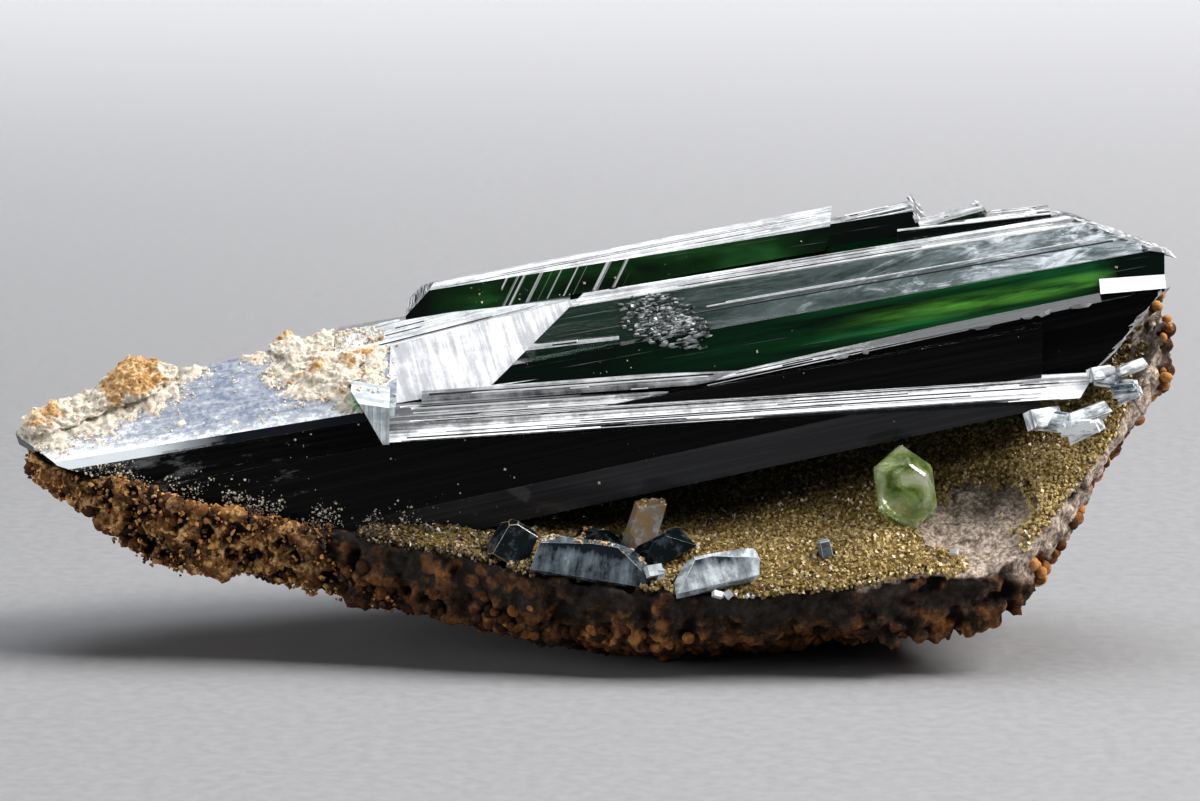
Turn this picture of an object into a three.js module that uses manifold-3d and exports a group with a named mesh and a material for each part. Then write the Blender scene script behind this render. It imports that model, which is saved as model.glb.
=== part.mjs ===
// Vivianite on ironstone: a bundle of dark green crystal blades bridging a hollow of oolitic ironstone. A
// golden druse lines the hollow and carries a few small blades and one pale green crystal. Ochre crusts the
// blades' tip. Millimetres, +Z up, +X along the blades, +Y away from the open front of the hollow.

import * as THREE from "three";
import { ConvexGeometry } from "three/addons/geometries/ConvexGeometry.js";
import { ImprovedNoise } from "three/addons/math/ImprovedNoise.js";
import { mergeVertices } from "three/addons/utils/BufferGeometryUtils.js";
import Module from "manifold-3d";

const wasm = await Module();
wasm.setup();

// Driving dimensions

const GAP = 0.35; // clearance kept between pieces that touch
const CRUST_THICKNESS = 0.5;
const CRUST_RELIEF = 0.5; // how far the druse's crystal tips vary
const CRUST_EDGE = 0.15; // thickness of the crust where it thins out at the lip
const ROCK_RELIEF = 0.7; // lumps on the broken outside of the ironstone
const HOLLOW_RELIEF = 0.25;
const LIP_RELIEF = 1.1; // how ragged the broken front edge is
const OOLITE_RADIUS = [0.6, 1.2];
const OOLITE_COUNT = 50;

// Ribs of the ironstone, left to right: x, then y and z of the front lip, z of the lip's broken foot, z of
// the hollow's floor, z of the underside, and y and z of the back edge.
const RIBS = [
  [-43.6, -4.4, 16, 14, 15.4, 13.6, 2, 15.6],
  [-34, -8.2, 13.5, 9, 12.5, 9.5, 7, 14.5],
  [-20, -9.4, 10.3, 5.4, 10.3, 5.5, 13, 16],
  [-5, -13, 8.2, 3.8, 9.4, 1.2, 16.5, 18],
  [5, -14.5, 6.8, 2.4, 10.2, -0.8, 17, 19.5],
  [15, -14.5, 6.4, 3.8, 12.4, -0.2, 16.8, 21],
  [25, -13.8, 7.8, 3.6, 14.8, 2, 15, 23],
  [32, -12.8, 9, 5.2, 16, 6, 12.5, 25],
  [40, -7.4, 17.4, 15.4, 20, 15, 8, 28],
  [44.8, -3, 25.5, 21.5, 26, 21.5, 5, 28.5],
];
const RIB_STATIONS = 36;
const HOLLOW_STEPS = 9;
const UNDERSIDE_STEPS = 11;

// The oblique broken end where the middle and upper blades stop on the left.
const BROKEN_END = { through: [-7.7, -5.3, 21.2], facing: [-0.7, 0.08, 0.71] };
// The slanting foot of the bundle where it grows out of the ironstone on the left.
const LEFT_BREAK = { through: [-34.5, -6.5, 11.6], facing: [-0.29, 0, -0.957] };
// The slanting breaks that end the front blades and the top of the bundle on the right.
const RIGHT_BREAK = { through: [39, -6.5, 22.8], facing: [0.78, 0, -0.63] };
const TOP_BREAK = { through: [40, -2, 32.8], facing: [0.33, 0.05, 0.94] };

// Blades of the main crystal. left and right are the foot of the blade's section at its two ends. Each face,
// walked up the front, over the top and down the back, has its lean in degrees (0 faces the front, 90 faces
// up) and its width at the left and the right end. cuts are planes that trim the blade.
const BLADES = {
  keel: {
    left: [-34, -6.4, 4.6],
    right: [34.6, -6.4, 19.6],
    faces: [[-12, 2.8, 2.9], [3, 6.2, 3.6], [88, 12, 12], [172, 7, 6]],
    cuts: [LEFT_BREAK],
  },
  slab: {
    left: [-46, -6.6, 11.4],
    right: [-15, -6.6, 17],
    faces: [[5, 2.5, 2.1], [28, 0.8, 0.7], [55, 6.2, 9.8], [125, 5, 7], [185, 4, 6]],
    cuts: [
      { through: [-44.8, -3, 17.3], facing: [-0.72, -0.5, -0.48] },
      { through: [-44.8, -3, 17.3], facing: [-0.75, 0.6, 0.25] },
      { through: [-34, -6.6, 13.2], facing: [-0.26, 0, -0.966] },
    ],
  },
  post: {
    left: [-18.4, -8.4, 17],
    right: [-15.4, -8.4, 17.2],
    faces: [[12, 3.4, 2.8], [58, 2.6, 2.4], [110, 4, 4], [178, 3, 3]],
    cuts: [{ through: [-15.9, -8.4, 17.2], facing: [-0.86, -0.2, -0.47] }],
  },
  front: {
    left: [-16, -8.3, 17.3],
    right: [43, -8.6, 21.2],
    faces: [[48, 3.8, 2.3], [88, 8, 8], [178, 3.5, 5]],
    cuts: [RIGHT_BREAK],
  },
  wall: {
    left: [6, -6.2, 20.6],
    right: [43.5, -6.9, 22.4],
    faces: [[8, 0.4, 6.5], [88, 8, 8], [178, 3, 7.5]],
    cuts: [RIGHT_BREAK],
  },
  ledge: {
    left: [-13, -6, 19.9],
    right: [16, -6.1, 22],
    faces: [[35, 1.1, 1.3], [95, 6, 6], [180, 2, 2]],
    cuts: [],
  },
  rail: {
    left: [9, -6.2, 21.4],
    right: [41.5, -6.1, 28.4],
    faces: [[50, 1.3, 0.9], [95, 5, 5], [180, 2, 2]],
    cuts: [RIGHT_BREAK],
  },
  shelf: {
    left: [-15.6, -5.6, 19.8],
    right: [3, -4.9, 22.9],
    faces: [[52, 6.2, 8.3], [95, 5, 5], [178, 5, 7]],
    cuts: [],
  },
  middle: {
    left: [-15.2, -5.7, 17.4],
    right: [44.1, -5.35, 28.6],
    faces: [[12, 3.8, 3.3], [85, 7, 6], [178, 8, 5]],
    cuts: [BROKEN_END, TOP_BREAK],
  },
  facet: {
    left: [39.1, -6.1, 28.5],
    right: [44.1, -6.1, 28.95],
    faces: [[48, 2.2, 2], [95, 2, 2], [180, 1.2, 1.2]],
    cuts: [],
  },
  sliver: {
    left: [-5.2, -5, 23.9],
    right: [2.2, -4.8, 24.75],
    faces: [[55, 0.6, 0.4], [95, 2, 2], [180, 0.6, 0.6]],
    cuts: [BROKEN_END],
  },
  upper: {
    left: [-8, -4.4, 21.5],
    right: [42.4, -4.6, 31.4],
    faces: [[40, 5.4, 3.5], [60, 1.5, 1.4], [95, 4.5, 3], [175, 6, 5]],
    cuts: [BROKEN_END, TOP_BREAK],
  },
  crest: {
    left: [-14.5, 1.6, 25],
    right: [19, 1.6, 30.9],
    faces: [[10, 2.3, 1.8], [65, 1, 2.9], [100, 3, 3], [168, 6, 6]],
    cuts: [
      { through: [-13.2, 2, 27], facing: [-0.72, -0.1, 0.68] },
      { through: [18.6, 2, 32], facing: [0.98, 0, -0.2] },
    ],
  },
  step: {
    left: [-20, -0.5, 23],
    right: [-1.6, -0.5, 25.2],
    faces: [[50, 2.2, 3.4], [95, 5, 5], [175, 6, 6]],
    cuts: [],
  },
  crestEnd: {
    left: [17, 2, 30.8],
    right: [27, 2, 32.2],
    faces: [[10, 1.7, 1.9], [70, 0.8, 2], [110, 2, 2], [175, 4, 4]],
    cuts: [{ through: [25, 2, 34], facing: [0.85, -0.2, 0.45] }],
  },
  crestRib: {
    left: [22, 2.4, 31.4],
    right: [31.5, 2.6, 34],
    faces: [[55, 1, 1.1], [120, 2, 2], [175, 3, 3]],
    cuts: [{ through: [30.5, 2.6, 34.4], facing: [0.8, 0.2, 0.55] }],
  },
  crestTip: {
    left: [24, 1.4, 31.3],
    right: [36, 1.7, 32.7],
    faces: [[10, 1, 0.9], [80, 3, 2.4], [170, 3, 3]],
    cuts: [],
  },
  back: {
    left: [-36, -3, 7.5],
    right: [37.5, -3, 22.5],
    faces: [[0, 8, 6], [80, 6, 6], [118, 5, 4.5], [165, 8, 6]],
    cuts: [LEFT_BREAK],
  },
};

// Small crystals on the druse: x and t place the foot on the hollow's floor (t runs from the lip to the back
// edge), size is length, height and thickness, turn is the lean about X, the tilt about Y and the swing about
// Z in degrees, sunk is the depth in the druse, bevel the slope of the end faces.
const SMALL_BLADES = {
  small_blade_long: { x: -0.2, t: 0.025, size: [9.6, 3.1, 1.5], turn: [-26, 9, -2], sunk: 0.8, bevel: 0.26 },
  small_blade_short: { x: 9.8, t: 0.02, size: [7, 2.7, 1.1], turn: [-34, -12, 5], sunk: 0.5, bevel: 0.12 },
  small_prism: { x: 5.8, t: 0.13, size: [5, 2, 2.4], turn: [-12, -26, 10], sunk: 0.4, bevel: 0.4 },
  small_upright_blade: { x: 3.4, t: 0.2, size: [2.4, 4.8, 1.2], turn: [-10, 22, 16], sunk: 0.6, bevel: 0.2 },
  small_left_prism: { x: -6.8, t: 0.06, size: [3, 3.4, 2.4], turn: [-18, 34, 14], sunk: 1.1, bevel: 0.3 },
  small_fragment: { x: 0.2, t: 0.19, size: [4.4, 1.6, 2], turn: [-8, 8, -10], sunk: 0.3, bevel: 0.6 },
  tiny_prism: { x: 18, t: 0.11, size: [0.9, 1.4, 0.8], turn: [-10, -10, 20], sunk: 0.3, bevel: 0.2 },
};

const GREEN_CRYSTAL = { x: 25, t: 0.17, across: 5.4, tall: 6.8, thick: 3.2, sunk: 0.9, turn: [-14, -10, 24] };

// Clusters of frosted splinters at the right end: middle, half extents, count and usual length.
const SPLINTERS = {
  splinter_cluster_lower: { middle: [36.3, -9, 19], spread: [1.7, 0.5, 0.5], count: 7, length: 2.9 },
  splinter_cluster_upper: { middle: [40.2, -7.8, 21.9], spread: [1.2, 0.5, 1.1], count: 8, length: 2 },
};

// Ochre crust on the slab's top face: centres and radii of its lumps, which are flattened against the face.
const SLAB_TOP_LEAN = 55;
const OCHRE_FLATTEN = 0.34;
const OCHRE = {
  ochre_crust_tip: [
    [-42.6, -2.9, 18.1, 1.6],
    [-40.8, -2.5, 18.8, 1.7],
    [-39, -1.9, 19.5, 1.8],
    [-37.2, -1.3, 20.3, 2.1],
    [-35.6, -0.7, 21.1, 2.4],
    [-34, -0.2, 21.7, 1.7],
  ],
  ochre_crust_middle: [
    [-23.8, 1, 23.3, 1.5],
    [-22, -0.2, 22.8, 2],
    [-20.4, -1.8, 21.9, 1.9],
    [-18.8, -2.8, 21.4, 1.9],
    [-18, -1, 22.6, 1.9],
    [-20.6, 0.6, 23.4, 1.8],
  ],
};

// Small helpers

const noise = new ImprovedNoise();
const noiseAt = (p, size) => noise.noise(p.x / size + 31.7, p.y / size + 12.3, p.z / size + 5.9);

// A repeatable stream of numbers from 0 to 1.
function numberStream(seed) {
  let state = seed;
  return () => {
    state = (state * 16807) % 2147483647;
    return state / 2147483647;
  };
}

function toSolid(geometry) {
  const bare = geometry.clone();
  bare.deleteAttribute("normal");
  bare.deleteAttribute("uv");
  const merged = mergeVertices(bare, 1e-4);
  const triVerts = new Uint32Array(merged.index.array);
  const vertProperties = new Float32Array(merged.attributes.position.array);
  return new wasm.Manifold(new wasm.Mesh({ numProp: 3, vertProperties, triVerts }));
}

function toGeometry(solid) {
  const mesh = solid.getMesh();
  const geometry = new THREE.BufferGeometry();
  geometry.setAttribute("position", new THREE.BufferAttribute(new Float32Array(mesh.vertProperties), 3));
  geometry.setIndex(new THREE.BufferAttribute(new Uint32Array(mesh.triVerts), 1));
  geometry.computeVertexNormals();
  return geometry;
}

// Works a chain of joins and cuts out once, and lets go of the solids it came from.
const settle = (solid) => solid.asOriginal();

const join = (solids) => settle(solids.reduce((whole, solid) => whole.add(solid)));

const largest = (solid) => solid.decompose().sort((a, b) => b.volume() - a.volume())[0];

// Removes what lies beyond the plane through a point that faces outwards.
function trim(solid, { through, facing }) {
  const inward = new THREE.Vector3(...facing).normalize().negate();
  return solid.trimByPlane(inward.toArray(), inward.dot(new THREE.Vector3(...through)));
}

// The room a solid needs: itself with the gap added on every side.
function roomOf(solid) {
  const shifts = [0, 1, 2].flatMap((axis) => [-GAP, GAP].map((side) => [0, 0, 0].with(axis, side)));
  return join([solid, ...shifts.map((shift) => solid.translate(shift))]);
}

// What is left of a solid outside another's room.
const clearOf = (solid, room) => largest(settle(solid.subtract(room)));

// The main crystal

function bladeSection(foot, faces, end) {
  const points = [new THREE.Vector3(...foot)];
  for (const face of faces) {
    const lean = THREE.MathUtils.degToRad(face[0]);
    const width = face[end];
    const last = points[points.length - 1];
    points.push(new THREE.Vector3(last.x, last.y + width * Math.sin(lean), last.z + width * Math.cos(lean)));
  }
  return points;
}

function makeBlade({ left, right, faces, cuts }) {
  const corners = [...bladeSection(left, faces, 1), ...bladeSection(right, faces, 2)];
  return cuts.reduce(trim, toSolid(new ConvexGeometry(corners)));
}

// The ironstone hollow

const ribCurve = new THREE.CubicInterpolant(
  RIBS.map((rib) => rib[0]),
  RIBS.flatMap((rib) => rib.slice(1)),
  RIBS[0].length - 1,
);

function ribCurves(x) {
  const [smoothY, smoothZ, smoothFoot, floorZ, baseZ, backY, backZ] = ribCurve.evaluate(x);
  const ragged = (row) => LIP_RELIEF * (noise.noise(x / 5, row, 0.5) + 0.6 * noise.noise(x / 1.9, row, 4.5));
  const lipY = smoothY + 0.6 * ragged(1.5);
  const lipZ = smoothZ + 0.5 * ragged(2.5);
  const footZ = smoothFoot + ragged(3.5);
  const across = (share) => THREE.MathUtils.lerp(lipY, backY, share);
  const curve = (...points) => new THREE.SplineCurve(points.map((p) => new THREE.Vector2(...p)));
  return {
    hollow: curve(
      [lipY, lipZ],
      [across(0.26), THREE.MathUtils.lerp(lipZ, floorZ, 0.55)],
      [across(0.6), floorZ],
      [across(0.85), THREE.MathUtils.lerp(floorZ, backZ, 0.5)],
      [across(0.97), backZ],
    ),
    underside: curve(
      [backY, backZ - 1],
      [across(1.01), THREE.MathUtils.lerp(backZ, baseZ, 0.5)],
      [across(0.84), baseZ + 0.6],
      [across(0.4), baseZ],
      [across(0.03), footZ],
    ),
  };
}

function hollowPoint(x, t) {
  const flat = ribCurves(x).hollow.getPoint(t);
  const point = new THREE.Vector3(x, flat.x, flat.y);
  point.z += HOLLOW_RELIEF * noiseAt(point, 5);
  return point;
}

function hollowNormal(x, t) {
  const step = 0.02;
  const along = hollowPoint(x + step, t).sub(hollowPoint(x - step, t));
  const across = hollowPoint(x, t + step).sub(hollowPoint(x, t - step));
  return along.cross(across).normalize();
}

function undersidePoint(x, t) {
  const flat = ribCurves(x).underside.getPoint(t);
  const point = new THREE.Vector3(x, flat.x, flat.y);
  const lump = ROCK_RELIEF * (noiseAt(point, 3.4) + 0.6 * noiseAt(point, 1.6));
  const outward = new THREE.Vector3(0, flat.x - 2, flat.y - 14).normalize();
  return point.addScaledVector(outward, lump);
}

// A closed skin from rows of points, each row a closed loop, with a fan at each end.
function loftLoops(loops) {
  const size = loops[0].length;
  const positions = loops.flat().flatMap((p) => p.toArray());
  const index = [];
  for (let row = 0; row + 1 < loops.length; row++) {
    for (let k = 0; k < size; k++) {
      const a = row * size + k;
      const b = row * size + ((k + 1) % size);
      index.push(a, a + size, b, b, a + size, b + size);
    }
  }
  const capEnd = (row, flip) => {
    const centre = loops[row].reduce((sum, p) => sum.add(p), new THREE.Vector3()).divideScalar(size);
    const hub = positions.length / 3;
    positions.push(...centre.toArray());
    for (let k = 0; k < size; k++) {
      const a = row * size + k;
      const b = row * size + ((k + 1) % size);
      index.push(...(flip ? [hub, b, a] : [hub, a, b]));
    }
  };
  capEnd(0, false);
  capEnd(loops.length - 1, true);
  const geometry = new THREE.BufferGeometry();
  geometry.setAttribute("position", new THREE.Float32BufferAttribute(positions, 3));
  geometry.setIndex(index);
  return geometry;
}

const firstRib = RIBS[0][0];
const lastRib = RIBS[RIBS.length - 1][0];

function makeRock() {
  const loops = [];
  for (let i = 0; i <= RIB_STATIONS; i++) {
    const x = THREE.MathUtils.lerp(firstRib, lastRib, i / RIB_STATIONS);
    const loop = [];
    for (let k = 0; k <= HOLLOW_STEPS; k++) loop.push(hollowPoint(x, k / HOLLOW_STEPS));
    for (let k = 0; k <= UNDERSIDE_STEPS; k++) loop.push(undersidePoint(x, k / UNDERSIDE_STEPS));
    loops.push(loop);
  }
  return toSolid(loftLoops(loops));
}

function makeOolites() {
  const random = numberStream(20);
  const balls = [];
  while (balls.length < OOLITE_COUNT) {
    const x = THREE.MathUtils.lerp(firstRib + 3, lastRib - 1, random());
    const centre = undersidePoint(x, 0.25 + 0.75 * random());
    const radius = THREE.MathUtils.lerp(...OOLITE_RADIUS, random());
    centre.lerp(hollowPoint(x, 0.5), 0.03);
    const ball = new THREE.IcosahedronGeometry(radius, 0);
    ball.rotateX(random() * Math.PI).rotateY(random() * Math.PI);
    ball.translate(centre.x, centre.y, centre.z);
    balls.push(toSolid(ball));
  }
  return join(balls);
}

// The druse on the hollow's floor

const DRUSE = { x: [-17, 41.5], t: [0.03, 0.78], columns: 18, rows: 6 };
const BARE_PATCH = { centre: [29.2, -9, 12.8], radii: [5.3, 6.4, 7.4] };

function makeDruse() {
  const random = numberStream(7);
  const loops = [];
  for (let i = 0; i <= DRUSE.columns; i++) {
    const x = THREE.MathUtils.lerp(...DRUSE.x, i / DRUSE.columns);
    const under = [];
    const over = [];
    for (let k = 0; k <= DRUSE.rows; k++) {
      const t = THREE.MathUtils.lerp(...DRUSE.t, k / DRUSE.rows);
      const foot = hollowPoint(x, t);
      const normal = hollowNormal(x, t);
      const thickness = k === 0 ? CRUST_EDGE : CRUST_THICKNESS + CRUST_RELIEF * random();
      const height = GAP + thickness;
      under.unshift(foot.clone().addScaledVector(normal, GAP));
      over.push(foot.clone().addScaledVector(normal, height));
    }
    loops.push([...over, ...under]);
  }
  const patch = new THREE.SphereGeometry(1, 12, 8);
  patch.scale(...BARE_PATCH.radii);
  patch.translate(...BARE_PATCH.centre);
  return largest(toSolid(loftLoops(loops)).subtract(toSolid(patch)));
}

// Small crystals

// A flat blade with sloped ends, standing on its long edge at the origin.
function bladeGeometry([length, height, thickness], bevel) {
  const corners = [];
  for (const [share, z] of [[1, 0], [1 - bevel * 0.4, height * 0.88], [1 - bevel, height]]) {
    const half = (length / 2) * share;
    const deep = (thickness / 2) * (z === height ? 0.55 : 1);
    for (const y of [-deep, deep]) {
      corners.push(new THREE.Vector3(-half * (1 - bevel * 0.3), y, z), new THREE.Vector3(half, y, z));
    }
  }
  return new ConvexGeometry(corners);
}

function seat(geometry, { x, t, turn, sunk }) {
  geometry.rotateX(THREE.MathUtils.degToRad(turn[0]));
  geometry.rotateY(THREE.MathUtils.degToRad(turn[1]));
  geometry.rotateZ(THREE.MathUtils.degToRad(turn[2]));
  const foot = hollowPoint(x, t);
  const lift = GAP + CRUST_THICKNESS + CRUST_RELIEF / 2 - sunk;
  geometry.translate(foot.x, foot.y, foot.z + lift);
  return toSolid(geometry);
}

// A thick tablet with a six-sided outline and bevelled faces.
function tabletGeometry({ across, tall, thick }) {
  const corners = [];
  for (const [depth, share] of [[-0.5, 0.5], [-0.12, 1], [0.2, 0.96], [0.5, 0.45]]) {
    for (let k = 0; k < 6; k++) {
      const angle = (k / 6) * 2 * Math.PI + 0.35;
      const x = (across / 2) * share * Math.cos(angle);
      const z = (tall / 2) * (1 + share * Math.sin(angle));
      corners.push(new THREE.Vector3(x, depth * thick, z));
    }
  }
  return new ConvexGeometry(corners);
}

function makeSplinters({ middle, spread, count, length }) {
  const random = numberStream(11);
  const either = () => random() * 2 - 1;
  const splinters = [];
  for (let k = 0; k < count; k++) {
    const long = length * (0.8 + 0.5 * random());
    const splinter = bladeGeometry([long, long * 0.3, long * 0.45], 0.35);
    splinter.translate(0, 0, -long * 0.15);
    splinter.rotateX(either() * 1.2).rotateY(0.2 + either() * 0.7).rotateZ(either() * 0.6);
    const place = spread.map((reach, axis) => middle[axis] + reach * either());
    splinters.push(toSolid(splinter.translate(...place)));
  }
  return join(splinters);
}

function makeOchre(lumps) {
  const random = numberStream(3);
  const balls = lumps.map(([x, y, z, radius]) => {
    const ball = new THREE.IcosahedronGeometry(radius, 1);
    ball.rotateX(random() * Math.PI).rotateZ(random() * Math.PI);
    ball.scale(1, OCHRE_FLATTEN, 1).rotateX(THREE.MathUtils.degToRad(-SLAB_TOP_LEAN));
    return toSolid(ball.translate(x, y, z));
  });
  return join(balls);
}

// The whole specimen

const crystal = join(Object.values(BLADES).map(makeBlade));
const crystalRoom = roomOf(crystal);

const smalls = {};
let room = crystalRoom;

function addSmall(name, solid) {
  smalls[name] = clearOf(solid, room);
  room = join([room, roomOf(smalls[name])]);
}

for (const [name, row] of Object.entries(SMALL_BLADES)) {
  addSmall(name, seat(bladeGeometry(row.size, row.bevel), row));
}
addSmall("green_crystal", seat(tabletGeometry(GREEN_CRYSTAL), GREEN_CRYSTAL));
for (const [name, cluster] of Object.entries(SPLINTERS)) addSmall(name, makeSplinters(cluster));

const ground = { through: [0, 0, 0], facing: [0, 0, -1] };
const rock = clearOf(trim(makeRock().add(makeOolites()), ground), room);
const druse = clearOf(makeDruse(), room);

const coat = (color, roughness) =>
  new THREE.MeshStandardMaterial({ color, roughness, metalness: 0, flatShading: true });

const MATERIALS = {
  vivianite: coat(0x0d1a14, 0.08),
  smallVivianite: coat(0x2b3a44, 0.3),
  frosted: coat(0xaebfc4, 0.45),
  green: coat(0x7c9a4e, 0.15),
  ironstone: coat(0x5a3c22, 0.9),
  druse: coat(0x7a6230, 0.35),
  ochre: coat(0xc9a064, 0.95),
};

const specimen = new THREE.Group();

function addPiece(name, solid, material) {
  const mesh = new THREE.Mesh(toGeometry(solid), material);
  mesh.name = name;
  specimen.add(mesh);
}

addPiece("vivianite_crystal", crystal, MATERIALS.vivianite);
addPiece("ironstone_matrix", rock, MATERIALS.ironstone);
addPiece("druse_crust", druse, MATERIALS.druse);
for (const [name, solid] of Object.entries(smalls)) {
  const kind = { splinter: "frosted", green: "green" }[name.split("_")[0]] ?? "smallVivianite";
  addPiece(name, solid, MATERIALS[kind]);
}
for (const [name, lumps] of Object.entries(OCHRE)) {
  addPiece(name, clearOf(makeOchre(lumps), crystalRoom), MATERIALS.ochre);
}

// The origin is under the middle of the specimen, on the surface it rests on.
const box = new THREE.Box3().setFromObject(specimen);
const middle = box.getCenter(new THREE.Vector3());
specimen.position.set(-middle.x, -middle.y, -box.min.z);

export default specimen;
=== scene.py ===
"""Vivianite specimen: the looks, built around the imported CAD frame. Metres, in the CAD frame."""
import math

import bmesh
import bpy
import numpy as np
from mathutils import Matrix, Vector, noise
from mathutils.bvhtree import BVHTree


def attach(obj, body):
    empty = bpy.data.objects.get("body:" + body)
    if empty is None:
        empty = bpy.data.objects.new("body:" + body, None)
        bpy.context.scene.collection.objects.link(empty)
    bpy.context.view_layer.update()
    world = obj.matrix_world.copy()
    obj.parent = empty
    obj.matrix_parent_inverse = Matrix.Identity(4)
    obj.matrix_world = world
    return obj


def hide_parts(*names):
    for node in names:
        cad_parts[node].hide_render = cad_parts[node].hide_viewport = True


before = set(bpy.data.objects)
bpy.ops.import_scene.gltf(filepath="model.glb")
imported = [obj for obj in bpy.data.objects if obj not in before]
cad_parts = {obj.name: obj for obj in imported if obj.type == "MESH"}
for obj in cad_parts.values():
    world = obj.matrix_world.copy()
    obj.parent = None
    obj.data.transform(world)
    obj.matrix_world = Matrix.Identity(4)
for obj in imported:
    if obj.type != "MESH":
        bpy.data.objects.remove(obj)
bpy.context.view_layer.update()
scene = bpy.context.scene

MM = 0.001

# Camera: the photograph's viewing angle
CAMERA_TARGET = Vector((0.71, -1.22, 19.14)) * MM
CAMERA_DISTANCE = 352.5 * MM
CAMERA_ELEVATION = math.radians(10)
CAMERA_LENS = 135
CAMERA_SENSOR = 36

# Detail sizes
ROCK_VOXEL = 0.305 * MM
CRUST_VOXEL = 0.1 * MM
CRUST_SKIN = 0.25 * MM
FILM_STEP = 0.13 * MM
EDGE_WEAR = 0.09 * MM
SMALL_EDGE_WEAR = 0.04 * MM
GREEN_EDGE_WEAR = 0.16 * MM
SPLINTER_EDGE_WEAR = 0.03 * MM
OOLITE_PITCH = 1.25 * MM
OOLITE_RADIUS = (0.28 * MM, 0.56 * MM)
OOLITE_COUNT = 2300
GRAIN_RADIUS = (0.11 * MM, 0.21 * MM)

# Grains and chips tried per square millimetre of a surface
OOLITES_PER_MM2 = 1.6
IRONSTONE_CRUMBS_PER_MM2 = 9.0
GRAINS_PER_MM2 = 22.0
LIP_GRAINS_PER_MM2 = 1.7 * GRAINS_PER_MM2
LOOSE_OCHRE_PER_MM2 = 60.0
DUST_PER_MM2 = 40.0
CHIPS_PER_MM2 = 26.0
SPLINTERS_PER_MM2 = 3.5
OCHRE_CRUMBS_PER_MM2 = 9.0
BLADE_OCHRE_PER_MM2 = 40.0

# Places and directions on the specimen
BARE_FROM_X = 20 * MM
BARE_ABOVE_Z = 6.5 * MM
EARTHY_TO_X = -18 * MM
FOOT_HEIGHT = 0.8 * MM
OUT_OF_HOLLOW = Vector((0, -0.97, 0.24))
BLADE_AXIS = (0.98, 0, 0.2)
UP_AND_FORWARD = Vector((0, -0.3, 1))

CRYSTAL_IOR = 1.6


# Meshes

def cad_mesh(node):
    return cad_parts[node].data


def mesh_arrays(mesh):
    """Vertices and triangles of a mesh as arrays."""
    mesh.calc_loop_triangles()
    vertices = np.empty(len(mesh.vertices) * 3)
    mesh.vertices.foreach_get("co", vertices)
    triangles = np.empty(len(mesh.loop_triangles) * 3, dtype=np.int64)
    mesh.loop_triangles.foreach_get("vertices", triangles)
    return vertices.reshape(-1, 3), triangles.reshape(-1, 3)


def cad_tree(node):
    vertices, triangles = mesh_arrays(cad_mesh(node))
    return BVHTree.FromPolygons(vertices.tolist(), triangles.tolist())


def sample_surface(vertices, triangles, per_mm2, rng):
    """Points spread evenly over triangles, with their normals."""
    a, b, c = (vertices[triangles[:, k]] for k in range(3))
    cross = np.cross(b - a, c - a)
    area = np.linalg.norm(cross, axis=1) / 2
    count = int(per_mm2 * area.sum() / MM**2)
    pick = rng.choice(len(area), size=count, p=area / area.sum())
    u, v = rng.random_sample((2, count))
    over = u + v > 1
    u[over], v[over] = 1 - u[over], 1 - v[over]
    points = a[pick] + u[:, None] * (b - a)[pick] + v[:, None] * (c - a)[pick]
    normals = cross[pick] / np.linalg.norm(cross[pick], axis=1)[:, None]
    return points, normals


def pick_surface(mesh, per_mm2, rng, wanted):
    """Points spread evenly over a mesh, with their normals, where wanted(place, normal) holds."""
    points, normals = sample_surface(*mesh_arrays(mesh), per_mm2, rng)
    keep = [bool(wanted(Vector(point), Vector(normal))) for point, normal in zip(points, normals)]
    return points[keep], normals[keep]


def random_turns(count, rng):
    """Rotation matrices spread evenly over all orientations."""
    q = rng.normal(size=(count, 4))
    w, x, y, z = (q / np.linalg.norm(q, axis=1)[:, None]).T
    return np.stack([
        np.stack([1 - 2 * (y * y + z * z), 2 * (x * y - z * w), 2 * (x * z + y * w)], axis=1),
        np.stack([2 * (x * y + z * w), 1 - 2 * (x * x + z * z), 2 * (y * z - x * w)], axis=1),
        np.stack([2 * (x * z - y * w), 2 * (y * z + x * w), 1 - 2 * (x * x + y * y)], axis=1),
    ], axis=1)


def unit_shape(kind):
    """Vertices and triangles of a small closed shape of radius 1."""
    form = bmesh.new()
    if kind == "rhomb":
        bmesh.ops.create_cube(form, size=1.25)
    elif kind == "ball":
        bmesh.ops.create_icosphere(form, subdivisions=2, radius=1)
    elif kind == "flake":
        bmesh.ops.create_cone(form, segments=5, radius1=1, radius2=0.6, depth=1, cap_ends=True)
    else:
        bmesh.ops.create_cone(form, segments=4, radius1=1, radius2=0, depth=1.5, cap_ends=True)
    bmesh.ops.triangulate(form, faces=form.faces)
    vertices = np.array([v.co for v in form.verts])
    triangles = np.array([[v.index for v in f.verts] for f in form.faces])
    form.free()
    return vertices, triangles


def mesh_from(name, vertices, faces, smooth=False):
    mesh = bpy.data.meshes.new(name)
    mesh.from_pydata(np.asarray(vertices).tolist(), [], np.asarray(faces).tolist())
    mesh.polygons.foreach_set("use_smooth", [smooth] * len(mesh.polygons))
    return mesh


def set_attribute(mesh, name, values):
    layer = mesh.attributes.new(name, "FLOAT", "POINT")
    layer.data.foreach_set("value", np.asarray(values, dtype=np.float32))


def add_piece(mesh, materials, replaces=()):
    piece = bpy.data.objects.new(mesh.name, mesh)
    scene.collection.objects.link(piece)
    for material in materials:
        mesh.materials.append(material)
    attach(piece, "root")
    if replaces:
        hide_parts(*replaces)
    return piece


def uneven(radii, stretch, rng):
    """Half extents in three directions for each radius."""
    return radii[:, None] * (1 + stretch * (rng.random_sample((len(radii), 3)) - 0.5))


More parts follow.
